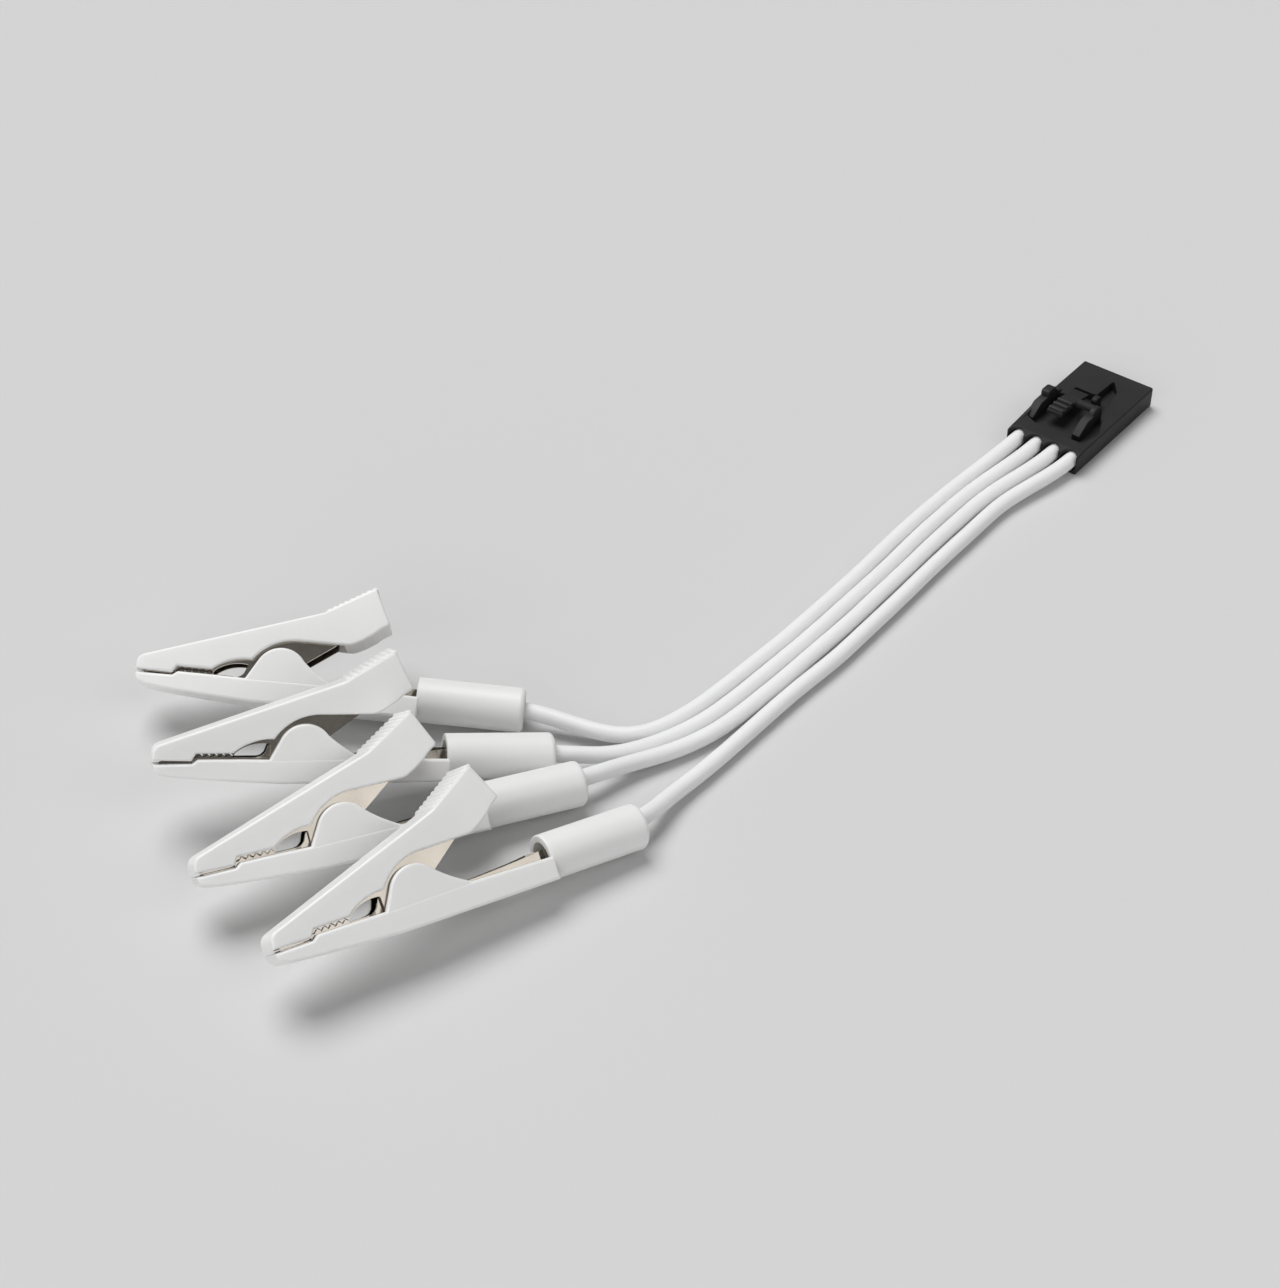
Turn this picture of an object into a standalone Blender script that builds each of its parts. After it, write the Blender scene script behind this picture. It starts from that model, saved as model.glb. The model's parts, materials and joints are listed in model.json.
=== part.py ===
"""Four-way alligator clip lead.

Four insulated alligator clips on silicone wires, crimped into one latching four-way housing.
Everything is written in millimetres and scaled to metres when a mesh is made.

Frame: X runs to the right and Y away from someone who looks at the lead with the clips on the
left, Z is up and z = 0 is the table.  The origin is the middle of the clips and housing.

Each clip has its own frame: x from jaw tip to wire end, z up, y = 0 the middle plane.  Outlines
are drawn with x measured from the jaw tip and z from the plane where the jaws meet, then moved so
that the clip's origin is its hinge.
"""

import math

import bmesh
import bpy
import numpy as np
from mathutils import Euler, Matrix, Vector

MM = 0.001

# ---------------------------------------------------------------- driving dimensions, millimetres

FIT_GAP = 0.12            # between pieces that sit in one another
RUNNING_GAP = 0.08        # radial play of the hinge pin in the jaw ears
SHEET = 0.35              # stamped steel of the jaws

# clip, side view
PIVOT_X = 15.93           # hinge, from the jaw tip
PIVOT_Z = 1.14            # hinge, above the jaw plane
EAR_R = 2.93              # round top of the plastic ears
PIN_R = 0.50
LEVER_TOP_SLOPE = 0.3375  # rise of the lever's straight top
LEVER_BEND_X = 20.9       # where the thumb grip begins
SHELL_WALL = 0.60
TIP_HALF = 1.80           # half width of both shells at the tip
LOWER_FLARE = 0.050       # how fast the half widths grow towards the rear
UPPER_FLARE = 0.040
FLARE_END = 16.0          # behind this the lower shell has parallel sides
SHELL_ROUND = 0.30        # moulded edge radius
TIP_WALL = 0.80           # plastic in front of the jaws
EAR_INSET = 0.08          # ears stand in from the sides of the lower shell
CHANNEL_END = 31.3        # open channel behind the ears ends here, in the barrel
BARREL_START = 31.0
BARREL_END = 42.9
BARREL_R = 2.50
BARREL_Z = 0.28

# thumb grip
RIDGES = 8
RIDGE_PITCH = 0.62
RIDGE_HEIGHT = 0.14
RIDGE_START = 0.45        # from the bend to the first ridge
RIDGE_MARGIN = 0.35       # ridges stop short of the lever's sides

# jaws
JAW_START = TIP_WALL + FIT_GAP
STEP_X = 4.3              # front flat ends, serrated edge begins
TEETH = 5
TOOTH_PITCH = 0.76
TOOTH_HEIGHT = 0.34
TEETH_START = 4.65
RIM_Z = 0.50              # lower jaw edge between teeth and hinge
TROUGH_Z = 0.62           # lower jaw edge behind the hinge
LOBE_R = 2.20             # round lower end of the upper jaw's wings
INNER_EAR_R = 1.90        # round top of the lower jaw's ears
CRIMP_END = 36.0
CRIMP_SHEET = 0.20

# hinge spring
SPRING_WIRE = 0.30
SPRING_TURNS = 1.5
SPRING_PITCH = SPRING_WIRE + 0.42
SPRING_R = PIN_R + 0.42

# wires
WIRE_D = 1.90
WIRE_START_X = 32.2       # insulation begins inside the barrel
WIRE_STEP = 5.2           # spacing of the tube's points
CRIMP_HALF = WIRE_D / 2 + 0.03 + CRIMP_SHEET
BORE_R = math.sqrt(2) * CRIMP_HALF + 0.08    # the square crimp clears the round bore

# housing, its own frame: x from the wire end to the mating end, y to the left, z up
PITCH = 2.54
WAYS = 4
HOUSING_L = 18.9
CAVITY = WIRE_D + 2 * FIT_GAP
CAVITY_END = 16.6
SIDE_WALL = 0.25          # plastic outside the outer cavities
ROOF = 0.28               # plastic over and under the cavities
HOUSING_W = (WAYS - 1) * PITCH + CAVITY + 2 * SIDE_WALL
HOUSING_H = CAVITY + 2 * ROOF
WIRE_Z = HOUSING_H / 2    # wire axis above the housing's base
ENTRY_H = HOUSING_H - 0.35                   # top of the housing at its wire end, before the slope
ENTRY_SLOPE = 1.9
MOUTH = 0.28              # how much wider the flared wire entries are at the face
MOUTH_DEPTH = 1.5
SCALLOP_R = CAVITY / 2 + 0.03                # round bites at the wire end, over each wire
CONTACT_HOLE = 1.0
WIRE_SEAT = 2.2           # wires reach this far into their cavities
TERMINAL_HALF = 0.75      # half the side of a terminal's square box
LATCH_Y = 1.7             # the latch tongue sits left of the middle
LATCH_HALF = 1.10
LATCH_HINGE_X = 14.4
LATCH_HINGE_Z = HOUSING_H - 0.10
POCKET_Z = HOUSING_H - 0.28                  # floor of the recess round the latch
RAIL_Y = (4.35, -2.27)    # ramped guard rails either side of the latch

# where the clips lie: hinge position, then roll, pitch and yaw in degrees
CLIPS = [
    ((-39.50, -12.07, 5.43), (-51.67, 5.11, -3.22)),
    ((-35.65, -25.75, 7.28), (-37.12, 8.89, 10.56)),
    ((-31.01, -36.28, 5.64), (-42.66, 5.36, 24.31)),
    ((-23.11, -45.89, 6.17), (-46.10, 6.64, 31.99)),
]
HOUSING_AT = (50.3, 35.6, 0.0)
HOUSING_YAW = 51.95

# how far up or down each wire leans in its barrel where it leaves the clip
WIRE_LEAN = (0.0, 0.15, 0.45, 0.6)

# the free run of each wire over the table, from its clip to the housing
ROUTES = [
    [(-7.2, -15.7, 1.7), (-1.2, -16.7, 1.1), (4.2, -14.0, 1.0), (8.6, -9.7, 1.0), (12.6, -5.1, 1.0),
     (16.6, -0.4, 1.0), (20.4, 4.4, 1.0), (24.2, 9.3, 1.0), (27.8, 14.2, 1.0), (31.4, 19.2, 1.0),
     (35.2, 24.1, 1.0), (39.1, 28.8, 1.0), (43.1, 33.6, 1.1)],
    [(-3.7, -20.4, 1.6), (1.8, -18.0, 1.1), (6.8, -14.5, 1.0), (11.0, -10.2, 1.0), (14.9, -5.6, 1.0),
     (18.8, -0.9, 1.0), (22.5, 3.8, 1.0), (26.2, 8.6, 1.0), (29.8, 13.4, 1.0), (33.3, 18.3, 1.0),
     (37.0, 23.1, 1.0), (40.9, 27.8, 1.0), (44.8, 32.4, 1.1)],
    [(-1.5, -22.1, 1.7), (3.7, -19.2, 1.1), (8.6, -15.7, 1.0), (12.8, -11.3, 1.0), (16.7, -6.7, 1.0),
     (20.5, -2.0, 1.0), (24.3, 2.7, 1.0), (27.9, 7.5, 1.0), (31.5, 12.3, 1.0), (35.1, 17.2, 1.0),
     (38.8, 22.0, 1.0), (42.6, 26.6, 1.0), (46.6, 31.1, 1.1)],
    [(3.1, -27.1, 1.6), (6.9, -22.4, 1.1), (10.7, -17.7, 1.0), (14.5, -12.9, 1.0), (18.3, -8.3, 1.0),
     (22.3, -3.7, 1.0), (26.0, 1.1, 1.0), (29.7, 6.0, 1.0), (33.3, 10.9, 1.0), (36.9, 15.7, 1.0),
     (40.6, 20.5, 1.0), (44.4, 25.2, 1.0), (48.6, 29.6, 1.1)],
]


# ---------------------------------------------------------------- scene and materials

def clear_scene():
    for obj in list(bpy.data.objects):
        bpy.data.objects.remove(obj, do_unlink=True)


def material(name, color, roughness, metallic=0.0):
    mat = bpy.data.materials.new(name)
    mat.use_nodes = True
    shader = mat.node_tree.nodes["Principled BSDF"]
    shader.inputs["Base Color"].default_value = (*color, 1.0)
    shader.inputs["Roughness"].default_value = roughness
    shader.inputs["Metallic"].default_value = metallic
    return mat


def add_object(name, data, parent=None):
    obj = bpy.data.objects.new(name, data)
    bpy.context.scene.collection.objects.link(obj)
    obj.parent = parent
    return obj


# ---------------------------------------------------------------- outlines

def arc(center, radius, start, end, count):
    """Points on a circle in the side view, angles in degrees from +x towards +z."""
    points = []
    for i in range(count):
        angle = math.radians(start + (end - start) * i / (count - 1))
        points.append((center[0] + radius * math.cos(angle), center[1] + radius * math.sin(angle)))
    return points


def arc_through(first, middle, last, count):
    """Points on the circle through three points, from the first to the last."""
    (ax, az), (bx, bz), (cx, cz) = first, middle, last
    d = 2 * (ax * (bz - cz) + bx * (cz - az) + cx * (az - bz))
    a2, b2, c2 = ax * ax + az * az, bx * bx + bz * bz, cx * cx + cz * cz
    ux = (a2 * (bz - cz) + b2 * (cz - az) + c2 * (az - bz)) / d
    uz = (a2 * (cx - bx) + b2 * (ax - cx) + c2 * (bx - ax)) / d
    start = math.degrees(math.atan2(az - uz, ax - ux))
    end = math.degrees(math.atan2(cz - uz, cx - ux))
    mid = math.degrees(math.atan2(bz - uz, bx - ux))
    span = (end - start) % 360
    if (mid - start) % 360 > span:
        span -= 360
    return arc((ux, uz), math.hypot(ax - ux, az - uz), start, start + span, count)


def lever_top(x):
    """Height of the lever's straight top."""
    return 1.97 + LEVER_TOP_SLOPE * (x - 0.62)


def lower_bottom(x):
    """Height of the lower shell's underside behind its bevelled tip."""
    return -1.38 - 0.87 * min(1.0, (x - 1.2) / 12.0) ** 0.75 if x > 1.2 else -1.38


def lower_half(x):
    return TIP_HALF + LOWER_FLARE * min(x, FLARE_END)


def upper_half(x):
    return TIP_HALF + UPPER_FLARE * x


def jaw_half(x):
    """Outer half width of both jaws where they lie inside the shells."""
    return min(lower_half(x), upper_half(x)) - SHELL_WALL - FIT_GAP


# ---------------------------------------------------------------- mesh tools

def clip_point(x, y, z):
    """A point drawn from the jaw tip, in metres from the hinge."""
    return Vector(((x - PIVOT_X) * MM, y * MM, (z - PIVOT_Z) * MM))


def housing_point(x, y, z):
    return Vector((x * MM, y * MM, z * MM))


def finish_mesh(bm, name):
    bmesh.ops.recalc_face_normals(bm, faces=bm.faces)
    mesh = bpy.data.meshes.new(name)
    bm.to_mesh(mesh)
    bm.free()
    return mesh


def prism(outline, half, place=clip_point, rounding=0.0, middle=0.0, segments=1, bend=None):
    """A side-view outline given thickness: y = middle +- half(x), edges rounded on both sides.
    Where the width stops growing, at x = bend, the sides are split to keep their faces flat."""
    bm = bmesh.new()
    sides = []
    for sign in (-1, 1):
        sides.append([bm.verts.new(place(x, middle + sign * half(x), z)) for x, z in outline])
    for side in sides:
        bm.faces.new(side)
    for i in range(len(outline)):
        j = (i + 1) % len(outline)
        bm.faces.new((sides[0][i], sides[0][j], sides[1][j], sides[1][i]))
    if bend is not None:
        everything = bm.verts[:] + bm.edges[:] + bm.faces[:]
        bmesh.ops.bisect_plane(bm, geom=everything, dist=1e-7, plane_co=place(bend, 0, 0), plane_no=(1, 0, 0))
        for vert in bm.verts:
            if abs(vert.co.x - place(bend, 0, 0).x) < 1e-6:
                vert.co.y = (middle + math.copysign(half(bend), vert.co.y / MM - middle)) * MM
    bmesh.ops.recalc_face_normals(bm, faces=bm.faces)
    if rounding:
        rims = [edge for edge in bm.edges if is_rim(edge, middle)]
        bmesh.ops.bevel(bm, geom=rims, offset=rounding * MM, segments=segments, profile=0.5,
                        affect="EDGES", clamp_overlap=True)
    return finish_mesh(bm, "prism")


def is_rim(edge, middle):
    """True for an edge where a flat side of a prism meets its thickness."""
    a, b = edge.verts
    same_side = (a.co.y / MM - middle) * (b.co.y / MM - middle) > 0
    return same_side and edge.calc_face_angle(0.0) > math.radians(30)


def constant(value):
    return lambda x: value


def box(low, high, place=housing_point):
    outline = [(low[0], low[2]), (high[0], low[2]), (high[0], high[2]), (low[0], high[2])]
    return prism(outline, constant((high[1] - low[1]) / 2), place, middle=(low[1] + high[1]) / 2)


def turned(profile, axis_z, sides, place=clip_point):
    """A solid of revolution about a line along x: profile is (x, radius) from end to end."""
    bm = bmesh.new()
    rings = []
    for x, radius in profile:
        ring = []
        for i in range(sides):
            angle = 2 * math.pi * (i + 0.5) / sides
            ring.append(bm.verts.new(place(x, radius * math.cos(angle), axis_z + radius * math.sin(angle))))
        rings.append(ring)
    for a, b in zip(rings, rings[1:]):
        for i in range(sides):
            j = (i + 1) % sides
            bm.faces.new((a[i], a[j], b[j], b[i]))
    bm.faces.new(rings[0])
    bm.faces.new(rings[-1])
    return finish_mesh(bm, "turned")


def cross_pin(x, z, radius, half, sides, place=clip_point, middle=0.0):
    """A round bar across the clip, from y = middle - half to middle + half."""
    outline = arc((x, z), radius, 0, 360 * (1 - 1 / sides), sides)
    return prism(outline, constant(half), place, middle=middle)


def channel(stations, place=clip_point, middle=0.0):
    """A bent sheet of U section.  Each station is (x, outer half width, edge z, web z, sheet),
    where the web's outer face is at web z and the two walls run from it to edge z."""
    bm = bmesh.new()
    rings = []
    for x, half, edge, web, sheet in stations:
        inner = half - sheet
        web_in = web + math.copysign(sheet, edge - web)
        section = [(-half, edge), (-half, web), (half, web), (half, edge),
                   (inner, edge), (inner, web_in), (-inner, web_in), (-inner, edge)]
        rings.append([bm.verts.new(place(x, middle + y, z)) for y, z in section])
    for a, b in zip(rings, rings[1:]):
        for i in range(8):
            j = (i + 1) % 8
            bm.faces.new((a[i], a[j], b[j], b[i]))
    bm.faces.new(rings[0])
    bm.faces.new(rings[-1])
    return finish_mesh(bm, "channel")


def smooth_curve(points, step):
    """Points every `step` along a natural cubic spline through `points`."""
    p = np.array(points, float)
    t = np.concatenate(([0.0], np.cumsum(np.linalg.norm(np.diff(p, axis=0), axis=1))))
    h = np.diff(t)
    n = len(p)
    a = np.eye(n)
    b = np.zeros((n, 3))
    for i in range(1, n - 1):
        a[i, i - 1:i + 2] = h[i - 1], 2 * (h[i - 1] + h[i]), h[i]
        b[i] = 6 * ((p[i + 1] - p[i]) / h[i] - (p[i] - p[i - 1]) / h[i - 1])
    m = np.linalg.solve(a, b)

    def at(s):
        i = min(max(int(np.searchsorted(t, s)) - 1, 0), n - 2)
        u, v = s - t[i], t[i + 1] - s
        bend = (m[i] * v ** 3 + m[i + 1] * u ** 3) / (6 * h[i])
        return bend + (p[i] / h[i] - m[i] * h[i] / 6) * v + (p[i + 1] / h[i] - m[i + 1] * h[i] / 6) * u

    count = max(2, int(round(t[-1] / step)) + 1)
    return [at(s) for s in np.linspace(0.0, t[-1], count)]


def tube(name, points, radius, resolution):
    """A curve object with round section and filled ends; points in metres."""
    curve = bpy.data.curves.new(name, "CURVE")
    curve.dimensions = "3D"
    curve.bevel_depth = radius
    curve.bevel_resolution = resolution
    curve.use_fill_caps = True
    spline = curve.splines.new("POLY")
    spline.points.add(len(points) - 1)
    for spline_point, point in zip(spline.points, points):
        spline_point.co = (*point, 1.0)
    return curve


def combine(base, unions=(), cuts=()):
    """Boolean-join solids to a base and cut others from it, giving one mesh."""
    scratch = []

    def temporary(mesh):
        obj = add_object("temporary", mesh)
        scratch.append(obj)
        return obj

    body = temporary(base)
    for kind, solids in (("UNION", unions), ("DIFFERENCE", cuts)):
        for solid in solids:
            modifier = body.modifiers.new(kind, "BOOLEAN")
            modifier.operation = kind
            modifier.solver = "EXACT"
            modifier.object = temporary(solid)
    bpy.context.view_layer.update()
    graph = bpy.context.evaluated_depsgraph_get()
    mesh = bpy.data.meshes.new_from_object(body.evaluated_get(graph))
    for obj in scratch:
        bpy.data.objects.remove(obj, do_unlink=True)
    return mesh


def smooth(mesh, degrees=35):
    mesh.shade_smooth()
    mesh.set_sharp_from_angle(angle=math.radians(degrees))
    return mesh


# ---------------------------------------------------------------- clip pieces

def ear_outline():
    """Plastic ear round the hinge, reaching down into the channel for the union."""
    top = arc((PIVOT_X, PIVOT_Z), EAR_R, 155, 35, 9)
    skirt = arc_through(top[-1], (20.3, 1.32), (21.9, 0.42), 5)
    return [(12.1, -0.6), (12.05, 0.2)] + top + skirt[1:] + [(21.9, -0.6)]


def lower_shell_mesh():
    """Insulator of the fixed jaw: tapered channel, two ears and the wire barrel in one moulding."""
    under = [(x, lower_bottom(x)) for x in (1.2, 3.5, 7.0, 13.2, CHANNEL_END)]
    outline = [(0.0, -0.1), (0.12, -0.7), (0.55, -1.15)] + under
    outline += [(CHANNEL_END, 0.2), (21.5, 0.45), (12.05, 0.32), (9.0, 0.38), (STEP_X + 0.4, 0.38),
                (STEP_X - 0.2, -0.06)]
    shell = prism(outline, lower_half, rounding=SHELL_ROUND, bend=FLARE_END)
    ears = prism(ear_outline(), lambda x: lower_half(x) - EAR_INSET, rounding=0.25, bend=FLARE_END)
    nose = 0.12
    round_end = arc((BARREL_END - 0.55, BARREL_R - 0.55), 0.55, 90, 0, 4)
    profile = [(BARREL_START, BARREL_R - nose), (BARREL_START + nose, BARREL_R)] + round_end
    barrel = turned(profile, BARREL_Z, 24)

    floor = [(x, lower_bottom(x) + SHELL_WALL) for x in (TIP_WALL, 3.5, 7.0, 13.2, CHANNEL_END + 0.3)]
    cavity = prism(floor + [(CHANNEL_END + 0.3, 8.0), (TIP_WALL, 8.0)],
                   lambda x: lower_half(x) - SHELL_WALL, bend=FLARE_END)
    bore = turned([(BARREL_START - 1.0, BORE_R), (BARREL_END + 1.0, BORE_R)], BARREL_Z, 16)
    open_shell = combine(shell, unions=[ears], cuts=[cavity])
    return smooth(combine(open_shell, unions=[barrel], cuts=[bore]))


def thumb_line():
    """Start and end of the ridged thumb face in the side view."""
    return (LEVER_BEND_X, lever_top(LEVER_BEND_X)), (25.3, 11.9)


def ridge_bars(margin):
    """Rounded bars across the thumb face."""
    (x0, z0), (x1, z1) = thumb_line()
    length = math.hypot(x1 - x0, z1 - z0)
    along = ((x1 - x0) / length, (z1 - z0) / length)
    out = (-along[1], along[0])
    bars = []
    for i in range(RIDGES):
        s = RIDGE_START + i * RIDGE_PITCH
        outline = []
        for ds, rise in ((0.0, -0.2), (0.0, 0.02), (0.30, RIDGE_HEIGHT), (0.42, RIDGE_HEIGHT),
                         (0.52, 0.02), (0.52, -0.2)):
            outline.append((x0 + along[0] * (s + ds) + out[0] * rise,
                            z0 + along[1] * (s + ds) + out[1] * rise))
        bars.append(prism(outline, lambda x: upper_half(x) - margin))
    return bars


def upper_shell_mesh():
    """Insulator of the moving jaw: nose, arched side walls and ridged thumb grip."""
    eye = arc_through((8.4, 1.0), (9.6, 1.80), (12.55, 2.47), 6)
    arch = arc_through((12.68, 2.5), (14.6, 4.27), (17.7, 5.03), 8)
    thumb_start, thumb_end = thumb_line()
    outline = [(0.0, 0.3), (STEP_X - 0.25, 0.2), (STEP_X + 0.25, 0.98)] + eye + arch
    outline += [(23.3, 5.05), (24.5, 5.7), (25.6, 6.45), (26.3, 7.1), (27.3, 7.75)]
    outline += [thumb_end, thumb_start, (0.62, lever_top(0.62)), (0.03, 1.15)]
    shell = prism(outline, upper_half, rounding=SHELL_ROUND)

    wall = SHELL_WALL + 0.1
    rear = 0.65
    inside = [(TIP_WALL, -2.0), (TIP_WALL, lever_top(TIP_WALL) - wall)]
    inside += [(LEVER_BEND_X + 0.1, lever_top(LEVER_BEND_X) - wall)]
    inside += [(thumb_end[0] - rear - 0.1, thumb_end[1] - wall - rear), (26.5, 7.3), (25.9, 6.0), (25.2, -2.0)]
    cavity = prism(inside, lambda x: upper_half(x) - SHELL_WALL)
    return smooth(combine(shell, unions=ridge_bars(RIDGE_MARGIN), cuts=[cavity]))


def tooth_stations(base):
    """x and z of the serrated edge: sloping front, steep back, one tooth after another."""
    points = []
    for i in range(TEETH):
        x = TEETH_START + i * TOOTH_PITCH
        points += [(x, base), (x + TOOTH_PITCH * 0.5, base + TOOTH_HEIGHT)]
    points.append((TEETH_START + TEETH * TOOTH_PITCH, base))
    return points


def lower_web(x):
    return lower_bottom(max(x, 1.2)) + SHELL_WALL + FIT_GAP


def lower_jaw_mesh():
    """Stamped lower jaw: nose, teeth, ears joggled inwards for the hinge, trough and wire crimp."""
    edge = [(JAW_START, 0.02), (STEP_X - 0.15, 0.02), (STEP_X, RIM_Z)]
    edge += tooth_stations(RIM_Z)
    edge += [(10.6, RIM_Z), (11.2, 0.56), (11.8, 1.0), (12.1, 1.8)]
    edge += arc((PIVOT_X, PIVOT_Z), INNER_EAR_R, 150, 20, 8)
    edge += [(18.6, 1.0), (19.8, TROUGH_Z), (21.5, TROUGH_Z), (BARREL_START - 1.5, 0.45)]
    stations = []
    for x, z in edge:
        inward = min(max((x - 10.4) / 0.9, 0.0), 1.0) * min(max((19.9 - x) / 1.2, 0.0), 1.0)
        half = jaw_half(x) - inward * (SHEET + FIT_GAP)
        stations.append((x, half, z, lower_web(x), SHEET))
    crimp_web = BARREL_Z - CRIMP_HALF
    for x, z in ((BARREL_START - 0.1, 0.45), (WIRE_START_X - 0.25, 0.45), (WIRE_START_X + 0.25, 0.9),
                 (CRIMP_END, 0.9)):
        stations.append((x, CRIMP_HALF, z, crimp_web, CRIMP_SHEET))
    bore = cross_pin(PIVOT_X, PIVOT_Z, PIN_R + RUNNING_GAP, 3.0, 16)
    return smooth(combine(channel(stations), cuts=[bore]))


def upper_jaw_mesh():
    """Stamped upper jaw: nose, teeth, eye and the two wings that swing on the pin."""
    tooth_gap = 0.10
    edge = [(JAW_START, 0.12), (STEP_X - 0.35, 0.12), (STEP_X - 0.2, RIM_Z + tooth_gap)]
    edge += [(x, z + tooth_gap) for x, z in tooth_stations(RIM_Z)]
    edge += arc_through((8.6, 0.98), (9.95, 1.75), (12.25, 1.95), 6)
    edge += [(12.32, 0.35), (13.2, 0.2)]
    edge += arc((PIVOT_X, PIVOT_Z), LOBE_R, 215, 355, 9)
    slant_start = (LOBE_R + PIVOT_X + 0.03, 2.45)
    edge += [slant_start, (21.6, 5.0)]
    top_gap = SHELL_WALL + 0.1 + FIT_GAP
    stations = []
    for x, z in edge:
        stations.append((x, jaw_half(x), z, max(lever_top(x) - top_gap, 1.2), SHEET))
    bore = cross_pin(PIVOT_X, PIVOT_Z, PIN_R + RUNNING_GAP, 3.0, 16)
    return smooth(combine(channel(stations), cuts=[bore]))


def pivot_pin_mesh():
    """Hinge pin, held between the plastic ears."""
    half = lower_half(PIVOT_X) - SHELL_WALL - 0.05
    return smooth(cross_pin(PIVOT_X, PIVOT_Z, PIN_R, half, 16))


def spring_points():
    """Torsion spring on the pin: one leg to the lower jaw's floor, one under the lever's web."""
    steps = 9
    total = SPRING_TURNS
    start_angle = math.radians(-100)
    width = total * SPRING_PITCH
    points = []
    for i in range(int(total * steps) + 1):
        turn = i / steps
        angle = start_angle - 2 * math.pi * turn
        points.append((PIVOT_X + SPRING_R * math.cos(angle), -width / 2 + SPRING_PITCH * turn,
                       PIVOT_Z + SPRING_R * math.sin(angle)))
    first, last = points[0], points[-1]
    floor = lower_web(20.0) + SHEET + SPRING_WIRE + 0.05
    lower_leg = [(21.0, first[1], floor), (18.8, first[1], floor + 0.12)]
    upper_leg = [(last[0] + 1.6, last[1], last[2] + 2.4), (last[0] + 2.6, last[1], last[2] + 4.1)]
    return [clip_point(*p) for p in lower_leg + points + upper_leg]


# ---------------------------------------------------------------- housing pieces

def way_y(way):
    return ((WAYS - 1) / 2 - way) * PITCH


def plan_prism(outline, low, high):
    """A solid between two heights from an outline in the housing's plan, (x, distance right)."""
    return prism(outline, constant((high - low) / 2), lambda x, z, right: housing_point(x, -right, z),
                 middle=(low + high) / 2)


def latch_recess():
    """Plan of the recess round the latch and rails, cut down to POCKET_Z."""
    left = LATCH_HALF + FIT_GAP - LATCH_Y
    right = -LATCH_HALF - FIT_GAP - LATCH_Y
    return [(3.9, -4.6), (3.1, -2.9), (3.2, -1.0), (2.8, 0.3), (2.8, 4.1), (5.9, 4.75), (7.0, 4.2),
            (10.0, 3.1), (11.2, 2.7), (15.2, 1.9), (17.1, 0.45), (16.7, 0.25), (13.2, 0.1), (13.2, left),
            (LATCH_HINGE_X + 0.9, left), (LATCH_HINGE_X + 0.9, right), (10.9, right), (10.7, -4.1),
            (8.0, -4.15), (7.8, -4.7)]


def raised(profile):
    """A side view drawn with z above the housing's top face, standing on the recess floor."""
    first, last = profile[0][0], profile[-1][0]
    base = POCKET_Z - 0.1
    return [(first, base)] + [(x, HOUSING_H + z) for x, z in profile] + [(last, base)]


def housing_guards():
    """Ramped rails, left fin, right arch with its bridge and the knob, standing in the recess."""
    solids = []
    for y in RAIL_Y:
        ramp = raised([(3.6, -0.2), (7.1, 0.7), (7.7, 0.7)])
        solids.append(prism(ramp, constant(0.45), housing_point, rounding=0.08, middle=y))
    fin = raised([(7.9, 1.35), (8.3, 1.55), (9.2, 1.48), (9.9, 0.9), (10.7, 0.35), (12.1, -0.15)])
    solids.append(prism(fin, constant(0.42), housing_point, rounding=0.12, middle=HOUSING_W / 2 - 0.43))
    arch = raised([(7.4, 0.6), (8.3, 1.4), (9.4, 1.4), (10.1, 0.5)])
    solids.append(prism(arch, constant(0.41), housing_point, rounding=0.12, middle=RAIL_Y[1]))
    bridge = [(x, HOUSING_H + z) for x, z in ((8.4, 0.7), (8.55, 1.25), (9.4, 1.32), (9.75, 0.7))]
    near, far = LATCH_Y - LATCH_HALF - 0.25, RAIL_Y[1]
    solids.append(prism(bridge, constant((near - far) / 2), housing_point, rounding=0.08, middle=(near + far) / 2))
    knob = raised([(11.4, 0.2), (11.8, 0.45), (12.5, 0.4), (12.95, 0.05)])
    solids.append(prism(knob, constant(0.4), housing_point, rounding=0.12, middle=-0.6))
    return solids


def housing_mesh():
    """Crimp housing: block with one cavity per wire, flared scalloped entries and contact holes."""
    outline = [(0.0, 0.0), (HOUSING_L, 0.0), (HOUSING_L, HOUSING_H), (ENTRY_SLOPE, HOUSING_H), (0.0, ENTRY_H)]
    block = prism(outline, constant(HOUSING_W / 2), housing_point, rounding=0.15)
    cuts = [plan_prism(latch_recess(), POCKET_Z, 4.0)]
    radius = CAVITY / 2
    hole = CONTACT_HOLE / 2
    square = TERMINAL_HALF + FIT_GAP
    for way in range(WAYS):
        y = way_y(way)
        entry = [(-1.0, radius + MOUTH * (1 + 1 / MOUTH_DEPTH)), (MOUTH_DEPTH, radius), (WIRE_SEAT + 0.25, radius)]
        cuts.append(turned(entry, WIRE_Z, 20, lambda x, dy, z, y=y: housing_point(x, y + dy, z)))
        scallop = bmesh.new()
        bmesh.ops.create_cone(scallop, cap_ends=True, segments=16, radius1=SCALLOP_R * MM,
                              radius2=SCALLOP_R * MM, depth=3.0 * MM,
                              matrix=Matrix.Translation(housing_point(0.0, y, WIRE_Z + 1.5)))
        cuts.append(finish_mesh(scallop, "scallop"))
        cuts.append(box((WIRE_SEAT + 0.15, y - square, WIRE_Z - square), (CAVITY_END, y + square, WIRE_Z + square)))
        cuts.append(box((CAVITY_END - 0.5, y - hole, WIRE_Z - hole), (HOUSING_L + 1, y + hole, WIRE_Z + hole)))
    return smooth(combine(combine(block, cuts=cuts), unions=housing_guards()))


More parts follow.
